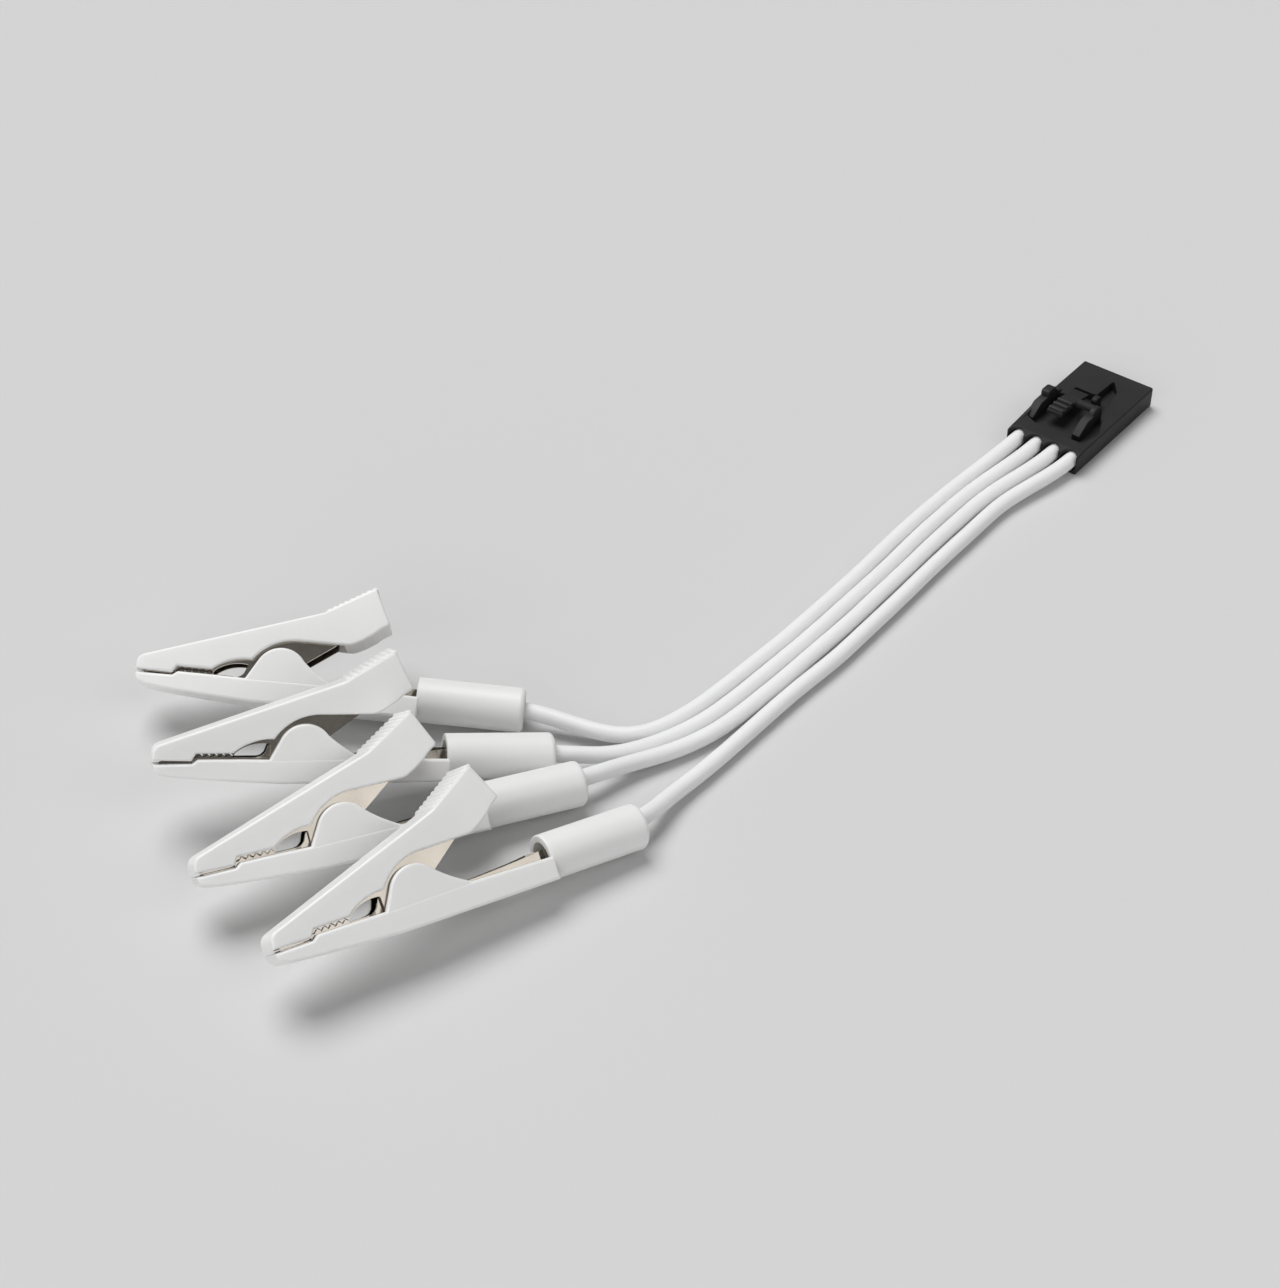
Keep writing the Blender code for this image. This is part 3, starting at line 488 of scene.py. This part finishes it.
def lower_shell():
    """Insulator of the fixed jaw: tapered channel, two ears and the wire barrel in one moulding."""
    belly_x = (NOSE_BOTTOM_X, 2.0, 3.0, 4.5, 6.5, 9.0, 11.0, NOSE_BOTTOM_X + BELLY_LENGTH, CHANNEL_END)
    under = [(x, lower_bottom(x)) for x in belly_x]
    outline = [(0.05, -0.1), (0.09, -0.5), (0.24, -0.88), (0.6, -1.18)] + under
    outline += [(CHANNEL_END, 0.2), (21.5, 0.45), (12.05, 0.32), (9.0, 0.38), (STEP_X + 0.4, 0.38),
                (STEP_X - 0.2, -0.06)]
    shell = prism(outline, lower_half, rounding=SHELL_ROUNDING, segments=4, bends=(FLARE_END,))
    top = arc((PIVOT_X, PIVOT_Z), EAR_R, 155, 35, 25)
    skirt = arc_through(top[-1], (20.3, 1.32), (21.9, 0.42), 11)
    ear = [(12.1, -0.6), (12.05, 0.2)] + top + skirt[1:] + [(21.9, -0.6)]
    ears = prism(ear, lambda x: lower_half(x) - 0.07, rounding=EAR_ROUNDING, segments=4,
                 bends=(FLARE_END,))
    front, rear = BARREL_START_ROUNDING, BARREL_END_ROUNDING
    profile = arc((BARREL_START + front, BARREL_R - front), front, 180, 90, 4)
    profile += arc((BARREL_END - rear, BARREL_R - rear), rear, 90, 0, 8)
    barrel = turned(profile, BARREL_Z, 72)
    floor = [(x, lower_bottom(x) + SHELL_WALL) for x in (TIP_WALL, 3.5, 7.0, 13.2, CHANNEL_END + 0.3)]
    cavity = prism(floor + [(CHANNEL_END + 0.3, 8.0), (TIP_WALL, 8.0)],
                   lambda x: lower_half(x) - SHELL_WALL, bends=(FLARE_END,))
    bore = turned([(BARREL_START - 1.0, BORE_R), (BARREL_END - 0.25, BORE_R),
                   (BARREL_END + 0.05, BORE_R + 0.3), (BARREL_END + 1.0, BORE_R + 0.4)], BARREL_Z, 48)
    open_shell = combine(shell, unions=[ears], cuts=[cavity])
    return soften(combine(open_shell, unions=[barrel], cuts=[bore]), PLAIN_CREASE)


def thumb_ridges():
    """Strip of rounded waves across the thumb face."""
    x0, z0 = THUMB_X, lever_top(THUMB_X)
    x1, z1 = THUMB_END
    length = math.hypot(x1 - x0, z1 - z0)
    along = ((x1 - x0) / length, (z1 - z0) / length)
    out = (-along[1], along[0])
    steps = 8
    wave = [(RIDGE_START + i / steps * RIDGE_PITCH,
             RIDGE_LIFT + RIDGE_HEIGHT * abs(math.sin(math.pi * i / steps)))
            for i in range(RIDGES * steps + 1)]
    section = [(wave[0][0], RIDGE_ROOT)] + wave + [(wave[-1][0], RIDGE_ROOT)]
    outline = [(x0 + along[0] * s + out[0] * h, z0 + along[1] * s + out[1] * h) for s, h in section]
    return prism(outline, lambda x: upper_half(x) - RIDGE_SIDE_GAP, rounding=RIDGE_ROUNDING)


def upper_shell():
    """Insulator of the moving jaw: nose, arched side walls and ridged thumb grip."""
    eye = arc_through((8.4, 1.0), (9.6, 1.80), (12.55, 2.47), 13)
    arch = arc_through((12.68, 2.5), (14.6, 4.27), (17.7, 5.03), 19)
    rear = [(23.3, 5.05), (24.5, 5.7), (25.6, 6.45), (26.3, 7.1), (27.3, 7.75), THUMB_END,
            (THUMB_X, lever_top(THUMB_X))]
    rear = round_corners([arch[-1]] + rear + [(LEVER_X, lever_top(LEVER_X))],
                         {1: 2.0, 2: 2.0, 3: 1.5, 4: 1.5, 5: 0.35, 6: 0.35, 7: 1.2})[1:-1]
    outline = [(0.0, 0.3), (STEP_X - 0.25, 0.2), (STEP_X + 0.25, 0.98)] + eye + arch + rear
    outline += [(0.8, lever_top(0.8) - 0.03), (0.45, 1.82), (0.16, 1.5), (0.04, 1.1)]
    shell = prism(outline, upper_half, rounding=SHELL_ROUNDING, segments=4)
    inside = [(TIP_WALL, -2.0), (TIP_WALL, lever_top(TIP_WALL) - LEVER_WALL),
              (21.8, lever_top(21.8) - LEVER_WALL), (22.5, lever_top(22.5) - 1.6), (22.5, -2.0)]
    cavity = prism(inside, lambda x: upper_half(x) - SHELL_WALL)
    return soften(combine(shell, unions=[thumb_ridges()], cuts=[cavity]), PLAIN_CREASE)


# ---------------------------------------------------------------- stamped metal

def bend_points(corner_y, corner_z, radius, toward_y, toward_z):
    """A rounded bend from a channel's wall round to its web."""
    points = []
    for k in range(JAW_BEND_STEPS):
        a = math.pi / 2 * k / (JAW_BEND_STEPS - 1)
        points.append((corner_y + toward_y * (radius - radius * math.cos(a)),
                       corner_z + toward_z * (radius - radius * math.sin(a))))
    return points


def channel(stations):
    """A bent sheet of U section with rounded bends.  Each station is (x, outer half width, edge z,
    web z, sheet): the web's outer face is at web z and the two walls run from it to edge z."""
    bm = bmesh.new()
    rings = []
    for x, half, edge, web, sheet in stations:
        up = math.copysign(1.0, edge - web)
        outer = min(JAW_BEND, abs(edge - web) * 0.8)
        inner = max(outer - sheet, 0.03)
        section = [(-half, edge)] + bend_points(-half, web, outer, 1, up)
        section += [(-y, z) for y, z in reversed(section)]
        inside = [(half - sheet, edge)] + bend_points(half - sheet, web + up * sheet, inner, -1, up)
        inside += [(-y, z) for y, z in reversed(inside)]
        rings.append([bm.verts.new(clip_point(x, y, z)) for y, z in section + inside])
    join_rings(bm, rings)
    return finish_mesh(bm, "channel")


def tooth_stations(base):
    """Rim heights along the row of teeth."""
    points = []
    for i in range(TEETH):
        x = TEETH_START + i * TOOTH_PITCH
        points += [(x, base), (x + TOOTH_PITCH * 0.5, base + TOOTH_HEIGHT)]
    points.append((TEETH_START + TEETH * TOOTH_PITCH, base))
    return points


def unit(value):
    """A value held between 0 and 1."""
    return min(max(value, 0.0), 1.0)


def pin_hole():
    """Cutter for the jaws' pivot holes."""
    return turned([(-3.0, PIN_HOLE_R), (3.0, PIN_HOLE_R)], 0.0, 32, pin_point)


def lower_web(x):
    """Height of the lower jaw's underside."""
    return lower_bottom(x) + SHELL_WALL + FIT_GAP


def lower_jaw():
    """Stamped lower jaw: nose, teeth, ears joggled inwards for the hinge, trough and wire crimp."""
    edge = [(TIP_WALL + FIT_GAP, 0.02), (STEP_X - 0.15, 0.02), (STEP_X, RIM_Z)]
    edge += tooth_stations(RIM_Z)
    edge += [(10.6, RIM_Z), (10.9, 0.51), (11.2, 0.56), (11.5, 0.70), (11.8, 1.0), (12.1, 1.8)]
    edge += arc((PIVOT_X, PIVOT_Z), JAW_EAR_R, 150, 20, 24)
    edge += [(18.2, 1.35), (18.7, 1.0), (19.2, 0.78), (19.8, 0.66), (20.5, TROUGH_Z), (21.5, 0.62),
             (23.5, 0.69), (25.5, 0.78), (27.5, 0.90), (29.0, 1.02), (30.0, 1.14)]
    stations = []
    for x, z in edge:
        inward = unit((x - JOGGLE_START) / JOGGLE_IN) * unit((JOGGLE_END - x) / JOGGLE_OUT)
        stations.append((x, jaw_half(x) - inward * (SHEET + FIT_GAP), z, lower_web(x), SHEET))
    half = WIRE_D / 2 + CRIMP_GAP + CRIMP_SHEET
    for x, z in ((30.9, 1.18), (WIRE_START_X - 0.25, 1.05), (WIRE_START_X + 0.25, 0.9), (36.0, 0.9)):
        stations.append((x, half, z, BARREL_Z - half, CRIMP_SHEET))
    return soften(combine(channel(stations), cuts=[pin_hole()]), SHEET_CREASE)


def upper_jaw():
    """Stamped upper jaw: nose, teeth, eye and the two wings that swing on the pin."""
    edge = [(TIP_WALL + FIT_GAP, 0.12), (STEP_X - 0.35, 0.12), (STEP_X - 0.2, RIM_Z + 0.1)]
    edge += [(x, z + UPPER_TEETH_LIFT) for x, z in tooth_stations(RIM_Z)]
    edge += arc_through((8.6, 0.98), (9.95, 1.75), (12.25, 1.95), 14)
    edge += [(12.32, 0.35), (12.7, 0.24), (13.2, 0.2)]
    edge += arc((PIVOT_X, PIVOT_Z), JAW_WING_R, 215, 355, 24)
    edge += [(18.16, 2.45), (21.6, 5.0)]
    top_gap = LEVER_WALL + FIT_GAP
    stations = [(x, jaw_half(x), z, max(lever_top(x) - top_gap, 1.2), SHEET) for x, z in edge]
    return soften(combine(channel(stations), cuts=[pin_hole()]), SHEET_CREASE)


def pivot_pin():
    """Hinge pin with chamfered ends, held between the plastic ears."""
    half = lower_half(PIVOT_X) - SHELL_WALL - PIN_END_GAP
    profile = [(-half, PIN_R - PIN_CHAMFER), (-half + PIN_CHAMFER, PIN_R),
               (half - PIN_CHAMFER, PIN_R), (half, PIN_R - PIN_CHAMFER)]
    return soften(turned(profile, 0.0, 40, pin_point), PLAIN_CREASE)


def torsion_spring():
    """Torsion spring on the pin: one leg to the lower jaw's floor, one under the lever's web."""
    steps = 9
    points = []
    for i in range(int(SPRING_TURNS * steps) + 1):
        turn = i / steps
        angle = math.radians(-100) - 2 * math.pi * turn
        points.append((PIVOT_X + SPRING_R * math.cos(angle),
                       -SPRING_TURNS * SPRING_PITCH / 2 + SPRING_PITCH * turn,
                       PIVOT_Z + SPRING_R * math.sin(angle)))
    first, last = points[0], points[-1]
    floor = lower_web(20.0) + SHEET + SPRING_WIRE + 0.05
    lower_leg = [(21.0, first[1], floor), (18.8, first[1], floor + 0.12)]
    upper_leg = [(last[0] + 1.6, last[1], last[2] + 2.4), (last[0] + 2.6, last[1], last[2] + 4.1)]
    route = smooth_curve(lower_leg + points + upper_leg, SPRING_STEP)
    tube = round_tube("spring", [clip_point(*point) for point in route], SPRING_WIRE, resolution=4)
    curve = link("temporary", tube)
    mesh = bpy.data.meshes.new_from_object(curve.evaluated_get(bpy.context.evaluated_depsgraph_get()))
    bpy.data.objects.remove(curve, do_unlink=True)
    return soften(mesh, PLAIN_CREASE)


def make_clips(materials):
    """Six pieces for each clip; the upper shell and jaw ride on its lever."""
    shapes = [("lower_shell", lower_shell(), "shell", "white_shell"),
              ("upper_shell", upper_shell(), "shell", "white_shell"),
              ("lower_jaw", lower_jaw(), "nickel", "nickel_plate"),
              ("upper_jaw", upper_jaw(), "nickel", "nickel_plate"),
              ("pivot_pin", pivot_pin(), "nickel", "nickel_plate")]
    spring_mesh = torsion_spring()
    for number in range(len(CLIPS)):
        matrix = clip_matrix(number)
        for name, mesh, material, slot in shapes:
            body = f"clip_{number + 1}_lever" if "upper" in name else "lead"
            place_piece(f"{name}_{number + 1}", mesh, materials[material], matrix, body,
                        f"clip_{number + 1}_{name}")
        coil = spring_mesh.copy()
        coil.transform(matrix)
        coil.materials.append(materials["spring"])
        spring = link(f"spring_{number + 1}", coil)
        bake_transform(spring)
        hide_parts(f"clip_{number + 1}_spring")


# ---------------------------------------------------------------- housing and latch

def plan_prism(outline, low, high):
    """A solid between two heights from an outline in the housing's plan, (x, distance right)."""
    return prism(outline, constant((high - low) / 2), lambda x, z, right: housing_point(x, -right, z),
                 middle=(low + high) / 2)


def above_top(profile):
    """A side view drawn with z above the housing's top face."""
    return [(x, HOUSING_H + z) for x, z in profile]


def guard(profile, half, middle, rounding):
    """A solid standing in the recess, from a side view drawn with z above the top face."""
    side = [(profile[0][0], GUARD_Z)] + above_top(profile) + [(profile[-1][0], GUARD_Z)]
    return prism(side, constant(half), housing_point, rounding, middle)


def housing_guards():
    """Ramped rails, left fin with its wall, right arch with its bridge, and the knob."""
    ramp = [(4.3, -0.35), (6.2, 0.85), (7.7, 0.85)]
    wall = [(0.2, 2.3), (0.3, 2.5), (7.6, 3.2), (8.2, 3.2), (8.2, 2.3)]
    fin = [(7.85, 1.2), (7.95, 1.45), (8.2, 1.58), (9.3, 1.55), (9.7, 1.35), (10.0, 0.95), (10.35, 0.55),
           (10.8, 0.3), (11.5, 0.08), (12.1, -0.15)]
    arch = [(7.4, 0.6), (7.7, 1.0), (8.1, 1.28), (8.6, 1.42), (9.2, 1.4), (9.6, 1.2), (9.9, 0.85),
            (10.1, 0.45)]
    bridge = [(8.4, 0.7), (8.45, 1.1), (8.65, 1.3), (9.0, 1.36), (9.35, 1.3), (9.65, 1.05), (9.75, 0.7)]
    knob = [(11.4, 0.2), (11.55, 0.38), (11.9, 0.47), (12.4, 0.44), (12.75, 0.28), (12.95, 0.0)]
    near, far = LATCH_Y - LATCH_HALF - 0.25, RAIL_Y[1]
    return [guard(ramp, 0.56, RAIL_Y[0], 0.08),
            guard(ramp, 0.56, RAIL_Y[1], 0.08),
            prism(wall, constant(0.2), housing_point, 0.08, HOUSING_W / 2 - 0.21),
            guard(fin, 0.58, HOUSING_W / 2 - 0.59, 0.16),
            guard(arch, 0.41, RAIL_Y[1], 0.16),
            prism(above_top(bridge), constant((near - far) / 2), housing_point, 0.12, (near + far) / 2),
            guard(knob, 0.4, -0.6, 0.18)]


def connector_housing():
    """Crimp housing: block with flared scalloped wire entries, contact holes and a deep recess."""
    outline = [(0.0, 0.0), (HOUSING_L, 0.0), (HOUSING_L, HOUSING_H), (1.3, HOUSING_H), (0.0, 2.5)]
    block = prism(outline, constant(HOUSING_W / 2), housing_point, rounding=0.2, segments=4)
    left, right = LATCH_HALF + FIT_GAP - LATCH_Y, -LATCH_HALF - FIT_GAP - LATCH_Y
    recess = [(3.9, -4.6), (3.1, -2.9), (3.2, -1.0), (2.8, 0.3), (2.8, 4.1), (5.9, 4.75), (7.0, 4.2),
              (10.0, 3.1), (11.2, 2.7), (15.2, 1.9), (17.1, 0.45), (16.7, 0.25), (13.2, 0.1),
              (SLOT_X, left), (SLOT_X, right), (10.9, right), (10.7, -4.1), (8.0, -4.15), (7.8, -4.7)]
    recess = round_corners(recess, {0: 0.3, 1: 0.4, 4: 0.5, 5: 0.5, 6: 0.4, 10: 0.2})
    cuts = [plan_prism(recess, RECESS_Z, ABOVE)]
    radius, hole = WIRE_D / 2 + FIT_GAP, CONTACT_HOLE / 2
    entry = [(-1.0, radius + ENTRY_MOUTH * (1 + 1 / ENTRY_DEPTH)), (ENTRY_DEPTH, radius),
             (WIRE_SEAT + 0.25, radius)]
    scallop = [(WIRE_Z + 0.1, radius + 0.03), (ABOVE, radius + 0.03)]
    for way in range(WAYS):
        y = way_y(way)
        cuts.append(turned(entry, WIRE_Z, 48, lambda x, dy, z, y=y: housing_point(x, y + dy, z)))
        cuts.append(turned(scallop, 0.0, 40, lambda z, dy, x, y=y: housing_point(x, y + dy, z)))
        cuts.append(housing_box((HOUSING_L - CONTACT_HOLE_DEPTH, y - hole, WIRE_Z - hole),
                                (HOUSING_L + 1, y + hole, WIRE_Z + hole)))
    return soften(combine(combine(block, cuts=cuts), unions=housing_guards()), HOUSING_CREASE)


def latch_lever():
    """Latch lever: tongue from its hinge up to the ridged press pad."""
    tongue = [(SLOT_X - 0.5, -0.2), (SLOT_X - 0.52, 0.05), (SLOT_X - 0.65, 0.14), (11.4, 0.34),
              (10.6, 0.5), (9.8, 0.68), (9.2, 0.8), (6.0, 0.92), (5.75, 0.88), (5.6, 0.75),
              (5.55, 0.4), (5.75, 0.25), (9.0, 0.2), (11.6, -0.2)]
    body = prism(above_top(tongue), constant(LATCH_HALF), housing_point, rounding=0.12, middle=LATCH_Y)
    profile = [(0.0, 0.6), (0.0, 0.95), (0.08, 1.08), (0.22, 1.16), (0.42, 1.16), (0.55, 1.05),
               (0.65, 0.85), (0.65, 0.6)]
    ridges = []
    for i in range(LATCH_RIDGES):
        start = LATCH_RIDGE_START + i * LATCH_RIDGE_PITCH
        ridge = above_top([(start + x, z) for x, z in profile])
        ridges.append(prism(ridge, constant(LATCH_HALF - 0.06), housing_point, rounding=0.06,
                            middle=LATCH_Y))
    return soften(combine(body, unions=ridges), HOUSING_CREASE)


def contact(way):
    """Crimped socket contact: wire barrel, neck and square box."""
    y = way_y(way)
    barrel = prism([(2.5, 0.72), (7.5, 0.72), (7.5, 1.38), (2.5, 1.38)], constant(0.5), housing_point,
                   middle=y, rounding=0.15)
    socket = prism([(8.2, 0.60), (16.3, 0.60), (16.3, 1.50), (8.2, 1.50)], constant(0.62), housing_point,
                   middle=y, rounding=0.12)
    neck = housing_box((7.3, y - 0.3, 0.72), (8.4, y + 0.3, 1.2))
    return soften(combine(socket, unions=[barrel, neck]), PLAIN_CREASE)


def make_housing(materials):
    """Contacts, housing and latch."""
    matrix = housing_matrix()
    for way in range(WAYS):
        place_piece(f"socket_contact_{way + 1}", contact(way), materials["tin"], matrix, "lead",
                    f"terminal_{way + 1}")
    place_piece("crimp_housing", connector_housing(), materials["black"], matrix, "lead",
                "connector_housing")
    place_piece("press_latch", latch_lever(), materials["black"], matrix, "latch",
                "latch_lever")


# ---------------------------------------------------------------- materials

class Shader:
    """A node material under construction."""

    def __init__(self, name, color, roughness, metallic=0.0):
        self.material = bpy.data.materials.new(name)
        self.material.use_nodes = True
        self.nodes = self.material.node_tree.nodes
        self.links = self.material.node_tree.links
        self.principled = self.nodes["Principled BSDF"]
        self.set("Base Color", (*color, 1.0))
        self.set("Roughness", roughness)
        self.set("Metallic", metallic)

    def set(self, socket, value):
        """Give one of the surface's inputs a value."""
        self.principled.inputs[socket].default_value = value

    def add(self, kind, **values):
        """A new node with values for its inputs."""
        node = self.nodes.new(kind)
        for key, value in values.items():
            node.inputs[key].default_value = value
        return node

    def noise(self, scale, detail=4.0):
        """Noise fixed to the object."""
        where = self.add("ShaderNodeTexCoord")
        noise = self.add("ShaderNodeTexNoise", Scale=scale, Detail=detail)
        self.links.new(where.outputs["Object"], noise.inputs["Vector"])
        return noise.outputs["Fac"]

    def mottle(self, value, dark, light, margin=0.3):
        """Base colour that drifts between two tones."""
        node = self.add("ShaderNodeValToRGB")
        stops = ((margin, dark), (1.0 - margin, light))
        for element, (position, color) in zip(node.color_ramp.elements, stops):
            element.position = position
            element.color = (*color, 1.0)
        self.links.new(value, node.inputs["Fac"])
        self.links.new(node.outputs["Color"], self.principled.inputs["Base Color"])

    def roughen(self, value, low, high):
        """Roughness that drifts between two levels."""
        node = self.add("ShaderNodeMapRange", **{"To Min": low, "To Max": high})
        self.links.new(value, node.inputs["Value"])
        self.links.new(node.outputs["Result"], self.principled.inputs["Roughness"])

    def glow(self, weight, depth):
        """Light scattered below the surface, as in milky plastic and silicone."""
        self.set("Subsurface Weight", weight)
        self.set("Subsurface Radius", (1.0, 1.0, 1.0))
        self.set("Subsurface Scale", depth)

    def bump(self, value, strength, distance):
        """Fine grain in the surface."""
        node = self.add("ShaderNodeBump", Strength=strength, Distance=distance)
        self.links.new(value, node.inputs["Height"])
        self.links.new(node.outputs["Normal"], self.principled.inputs["Normal"])


def gray(value):
    """A colour with three equal channels."""
    return (value, value, value)


def make_materials():
    """Every material by its short name."""
    shell = Shader("moulded_white", (0.88, 0.88, 0.872), 0.38)
    shell.mottle(shell.noise(90), (0.87, 0.87, 0.862), (0.89, 0.89, 0.882))
    shell.roughen(shell.noise(400), 0.34, 0.44)
    shell.glow(0.3, 0.0012)
    shell.bump(shell.noise(2500, 2.0), 0.08, 0.00002)

    wire = Shader("silicone_white", gray(0.88), 0.42)
    wire.mottle(wire.noise(120), gray(0.87), gray(0.89))
    wire.roughen(wire.noise(900), 0.38, 0.50)
    wire.glow(0.5, 0.0008)

    nickel = Shader("nickel_plate", (0.60, 0.55, 0.48), 0.16, 1.0)
    nickel.mottle(nickel.noise(300, 6.0), (0.50, 0.455, 0.39), (0.64, 0.59, 0.52), margin=0.25)
    nickel.roughen(nickel.noise(1200), 0.10, 0.24)

    spring = Shader("spring_steel", (0.45, 0.43, 0.40), 0.32, 1.0)
    spring.roughen(spring.noise(1500), 0.25, 0.40)

    tin = Shader("tin_plate", (0.70, 0.68, 0.62), 0.32, 1.0)
    tin.roughen(tin.noise(900), 0.25, 0.42)

    black = Shader("moulded_black", (0.022, 0.022, 0.023), 0.5)
    black.mottle(black.noise(150), gray(0.018), gray(0.026))
    black.set("Specular IOR Level", 0.22)
    black.roughen(black.noise(500), 0.46, 0.60)
    black.bump(black.noise(6000, 3.0), 0.12, 0.00002)
    return {"shell": shell.material, "wire": wire.material, "nickel": nickel.material,
            "spring": spring.material, "tin": tin.material, "black": black.material}


# ---------------------------------------------------------------- surroundings

FLOOR_HALF, FLOOR_Z = 3.0, -0.0001
WORLD_STRENGTH = 0.14
# name, strength, angle in degrees, direction towards the light
SUNS = (("key", 2.35, 40, (-0.27, 0.36, 1.0)),
        ("fill", 1.3, 66, (-0.42, -0.88, 0.18)),
        ("card", 0.32, 36, (0.62, -0.41, 0.66)))


def make_floor():
    """Plain pale paper under the lead."""
    bm = bmesh.new()
    bmesh.ops.create_grid(bm, x_segments=2, y_segments=2, size=FLOOR_HALF)
    mesh = bpy.data.meshes.new("floor")
    bm.to_mesh(mesh)
    bm.free()
    floor = link("floor", mesh)
    floor.location.z = FLOOR_Z
    paper = Shader("paper", gray(0.665), 0.9)
    paper.roughen(paper.noise(20), 0.85, 0.95)
    paper.set("Specular IOR Level", 0.1)
    mesh.materials.append(paper.material)


def make_light():
    """Plain white surroundings and three soft suns."""
    world = bpy.data.worlds.new("studio")
    world.use_nodes = True
    background = world.node_tree.nodes["Background"]
    background.inputs["Color"].default_value = (1.0, 1.0, 1.0, 1.0)
    background.inputs["Strength"].default_value = WORLD_STRENGTH
    bpy.context.scene.world = world
    for name, energy, angle, direction in SUNS:
        sun = bpy.data.lights.new(name, "SUN")
        sun.energy = energy
        sun.angle = math.radians(angle)
        lamp = link(name, sun)
        lamp.rotation_euler = Vector(direction).to_track_quat("Z", "Y").to_euler()


# ---------------------------------------------------------------- main

bpy.context.scene.view_settings.view_transform = "Standard"
make_camera()
materials = make_materials()
make_wires(materials["wire"])
make_clips(materials)
make_housing(materials)
make_floor()
make_light()

# the hidden CAD nodes carry the looks of their own pieces
NODE_MATERIALS = {"lower_shell": "shell", "upper_shell": "shell",
                  "lower_jaw": "nickel", "upper_jaw": "nickel",
                  "pivot_pin": "nickel", "spring": "spring", "connector_housing": "black",
                  "latch_lever": "black", "terminal": "tin", "wire": "wire"}
for name, node in frame["nodes"].items():
    key = next(k for k in NODE_MATERIALS if k in name)
    node.data.materials.clear()
    node.data.materials.append(materials[NODE_MATERIALS[key]])
